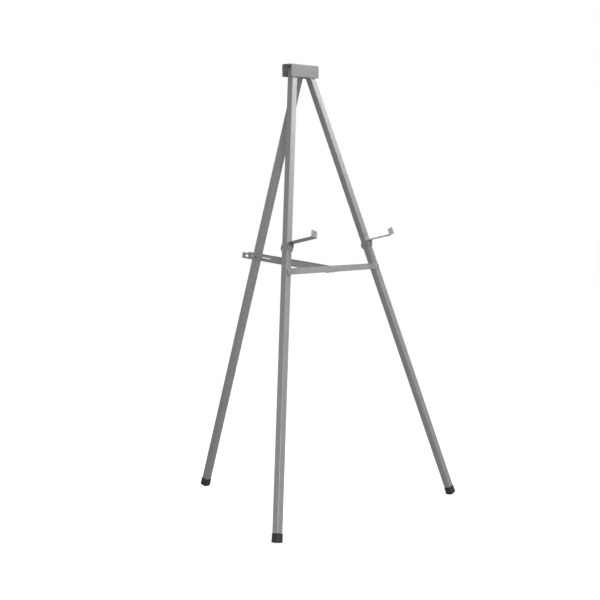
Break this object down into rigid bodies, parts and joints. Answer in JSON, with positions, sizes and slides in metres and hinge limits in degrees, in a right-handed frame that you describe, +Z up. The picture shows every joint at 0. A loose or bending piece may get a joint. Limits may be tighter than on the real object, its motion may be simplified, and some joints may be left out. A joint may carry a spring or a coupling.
{
  "type": "flipchart easel",
  "caption": "Folding three-legged easel of square tube, with a capped head, a folding slotted brace, two fold-up board hooks and rubber tips.",
  "frame": {"origin": "middle of the footprint, on the floor", "axes": "+Z up; +X to the right of someone facing the easel; -Y is the side the board hangs on"},
  "size_m": [1.0224, 0.846, 1.6024],
  "materials": {
    "leg_tube": "satin silver-grey anodised tube",
    "head_sheet": "satin silver-grey paint on pressed steel",
    "brace_sheet": "satin silver-grey paint on flat steel",
    "hook_sheet": "satin silver-grey paint on bent steel",
    "fastener": "zinc-plated steel",
    "rubber_tip": "matte black moulded rubber"
  },
  "bodies": {
    "head": {"head_channel": "head_sheet", "head_rivets": "fastener", "rear_leg_clevis": "head_sheet", "left_leg_bracket": "head_sheet", "right_leg_bracket": "head_sheet", "left_pivot_rivet": "fastener", "right_pivot_rivet": "fastener", "left_pivot_washer": "fastener", "right_pivot_washer": "fastener", "rear_pivot_bolt": "fastener", "rear_pivot_nut": "fastener", "rear_pivot_washers": "fastener"},
    "left_leg": {"left_leg_tube": "leg_tube", "left_leg_tip": "rubber_tip", "left_leg_insert": "fastener", "left_hook_saddle": "hook_sheet", "left_hook_rivet": "fastener", "left_hook_pin": "fastener"},
    "right_leg": {"right_leg_tube": "leg_tube", "right_leg_tip": "rubber_tip", "right_leg_insert": "fastener", "right_hook_saddle": "hook_sheet", "right_hook_rivet": "fastener", "right_hook_pin": "fastener"},
    "rear_leg": {"rear_leg_tube": "leg_tube", "rear_leg_tip": "rubber_tip"},
    "left_hook": {"left_hook_arm": "hook_sheet"},
    "right_hook": {"right_hook_arm": "hook_sheet"},
    "knee": {"knee_clip": "brace_sheet", "knee_rivet": "fastener", "clip_pin": "fastener"},
    "left_link": {"left_brace_link": "brace_sheet", "left_link_screw": "fastener", "left_link_spacer": "fastener"},
    "right_link": {"right_brace_link": "brace_sheet", "right_link_screw": "fastener"},
    "brace_bolt": {"brace_bolt": "fastener", "brace_nut": "fastener", "brace_washers": "fastener", "brace_spacers": "fastener"},
    "brace_strips": {"left_brace_strip": "brace_sheet", "right_brace_strip": "brace_sheet", "strip_pins": "fastener"}
  },
  "joints": [
    {"name": "left_leg_fold", "type": "hinge", "parent": "head", "child": "left_leg", "pos_m": [-0.0434, -0.08368, 1.576], "axis": [0, -0.9792, 0.203], "range_deg": [0, 15.8]},
    {"name": "right_leg_fold", "type": "hinge", "parent": "head", "child": "right_leg", "pos_m": [0.0434, -0.08368, 1.576], "axis": [0, -0.9792, 0.203], "range_deg": [-15.81, 0]},
    {"name": "rear_leg_fold", "type": "hinge", "parent": "head", "child": "rear_leg", "pos_m": [0, -0.07728, 1.572], "axis": [-1, 0, 0], "range_deg": [0, 27.88]},
    {"name": "knee_slide", "type": "slide", "parent": "head", "child": "knee", "axis": [0, -0.203, -0.9792], "range_m": [0, 0.27227]},
    {"name": "left_link_fold", "type": "hinge", "parent": "knee", "child": "left_link", "pos_m": [0, -0.22993, 0.8705], "axis": [0, -0.9792, 0.203], "range_deg": [-79.99, 0]},
    {"name": "right_link_fold", "type": "hinge", "parent": "knee", "child": "right_link", "pos_m": [0, -0.22993, 0.8705], "axis": [0, -0.9792, 0.203], "range_deg": [0, 79.99]},
    {"name": "brace_pin", "type": "hinge", "parent": "rear_leg", "child": "brace_bolt", "pos_m": [0, 0.12977, 0.90406], "axis": [1, 0, 0], "range_deg": [0, 97.68]},
    {"name": "brace_slide", "type": "slide", "parent": "brace_bolt", "child": "brace_strips", "axis": [0, 0.9952, 0.0974], "range_m": [0, 0.06544]},
    {"name": "left_hook_fold", "type": "hinge", "parent": "left_leg", "child": "left_hook", "pos_m": [-0.22051, -0.22667, 0.96652], "axis": [-0.9622, 0.0553, 0.2666], "range_deg": [0, 77]},
    {"name": "right_hook_fold", "type": "hinge", "parent": "right_leg", "child": "right_hook", "pos_m": [0.22051, -0.22667, 0.96652], "axis": [-0.9622, -0.0553, -0.2666], "range_deg": [0, 77]}
  ],
  "couplings": [
    {"joint": "right_leg_fold", "follows": "left_leg_fold", "ratio": -1},
    {"joint": "rear_leg_fold", "follows": "left_leg_fold", "ratio": 1.7614},
    {"joint": "knee_slide", "follows": "left_leg_fold", "m_per_rad": 0.9854},
    {"joint": "left_link_fold", "follows": "left_leg_fold", "ratio": -5.0559},
    {"joint": "right_link_fold", "follows": "left_leg_fold", "ratio": 5.0559},
    {"joint": "brace_pin", "follows": "left_leg_fold", "ratio": 6.175},
    {"joint": "brace_slide", "follows": "left_leg_fold", "m_per_rad": 0.2362}
  ]
}
